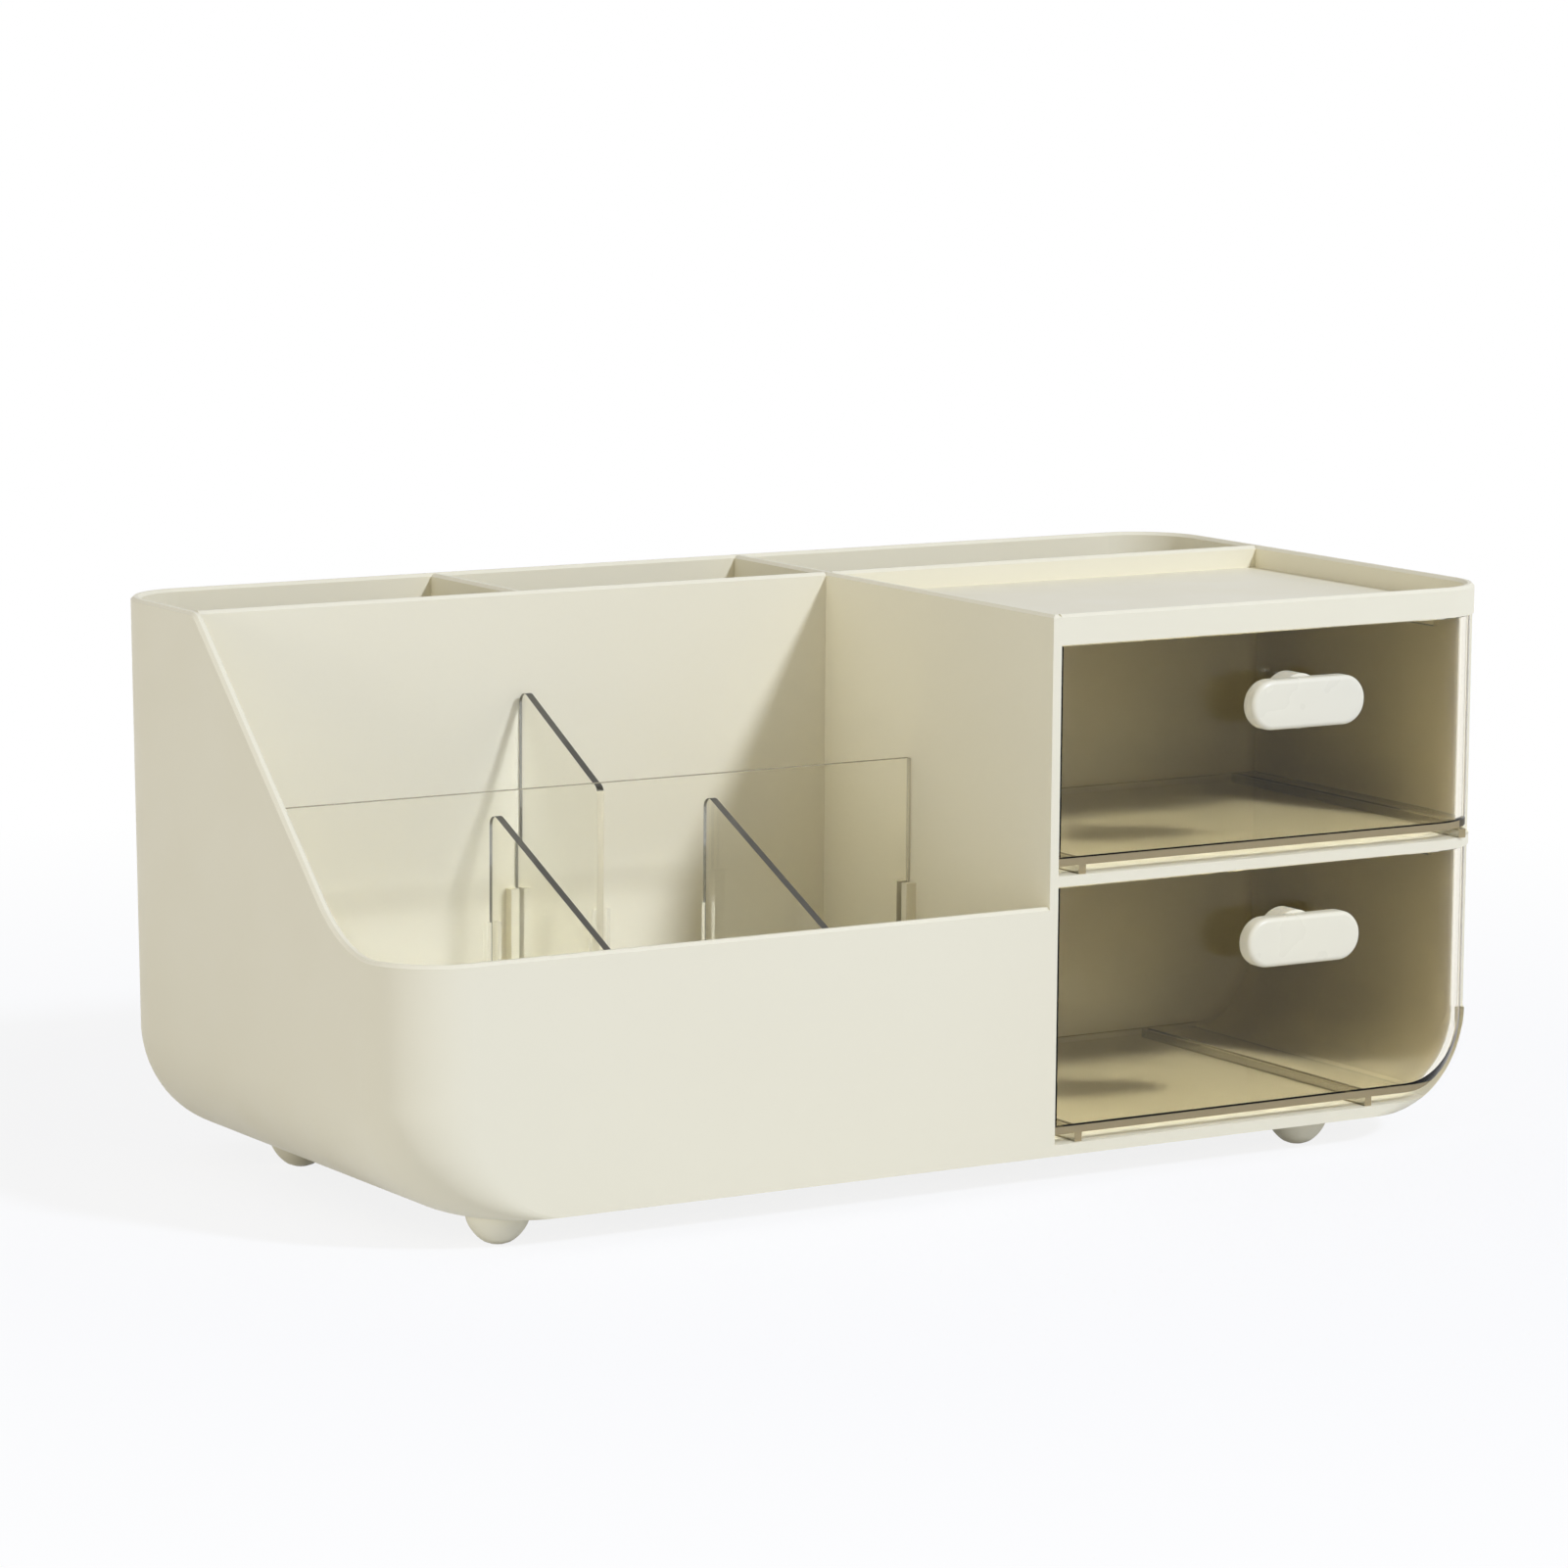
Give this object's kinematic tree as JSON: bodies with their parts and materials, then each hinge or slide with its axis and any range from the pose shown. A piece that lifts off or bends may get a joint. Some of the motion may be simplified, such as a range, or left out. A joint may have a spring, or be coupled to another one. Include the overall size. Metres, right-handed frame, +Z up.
{
  "type": "makeup organizer with drawers",
  "caption": "Desktop make-up organizer: cream tub with a low-fronted bin split by clear dividers, a tall rear row, and a side tower with smoked clear drawers under a tray.",
  "frame": {"origin": "on the standing plane under the feet, at the middle of the whole box, handles included", "axes": "+X to the right seen from the front, +Y to the back, +Z up; the drawers open towards -Y"},
  "size_m": [0.334, 0.168, 0.148],
  "materials": {
    "cream": "satin moulded",
    "cream_feet": "satin moulded",
    "cream_handles": "smooth",
    "smoked_clear": "polished, see-through",
    "clear": "polished, see-through",
    "steel": "zinc plated"
  },
  "bodies": {
    "cabinet": {"outer_shell": "cream", "drawer_partition": "cream", "bin_rear_wall": "cream", "tower_back_wall": "cream", "rear_divider": "cream", "drawer_shelf": "cream", "top_tray": "cream", "foot_front_left": "cream_feet", "foot_front_right": "cream_feet", "foot_back_left": "cream_feet", "foot_back_right": "cream_feet"},
    "drawer_upper": {"upper_drawer": "smoked_clear", "upper_handle": "cream_handles", "upper_handle_screw": "steel"},
    "drawer_lower": {"lower_drawer": "smoked_clear", "lower_handle": "cream_handles", "lower_handle_screw": "steel"},
    "divider_cross": {"cross_divider": "clear"},
    "divider_back": {"bin_rear_divider": "clear"},
    "divider_front_left": {"bin_front_left_divider": "clear"},
    "divider_front_right": {"bin_front_right_divider": "clear"}
  },
  "joints": [
    {"name": "upper_drawer_slide", "type": "slide", "parent": "cabinet", "child": "drawer_upper", "axis": [0, -1, 0], "range_m": [0, 0.09]},
    {"name": "lower_drawer_slide", "type": "slide", "parent": "cabinet", "child": "drawer_lower", "axis": [0, -1, 0], "range_m": [0, 0.09]},
    {"name": "cross_divider_lift", "type": "slide", "parent": "cabinet", "child": "divider_cross", "axis": [0, 0, 1], "range_m": [0, 0.14]},
    {"name": "back_divider_lift", "type": "slide", "parent": "cabinet", "child": "divider_back", "axis": [0, 0, 1], "range_m": [0, 0.14]},
    {"name": "front_left_divider_lift", "type": "slide", "parent": "cabinet", "child": "divider_front_left", "axis": [0, 0, 1], "range_m": [0, 0.14]},
    {"name": "front_right_divider_lift", "type": "slide", "parent": "cabinet", "child": "divider_front_right", "axis": [0, 0, 1], "range_m": [0, 0.14]}
  ]
}
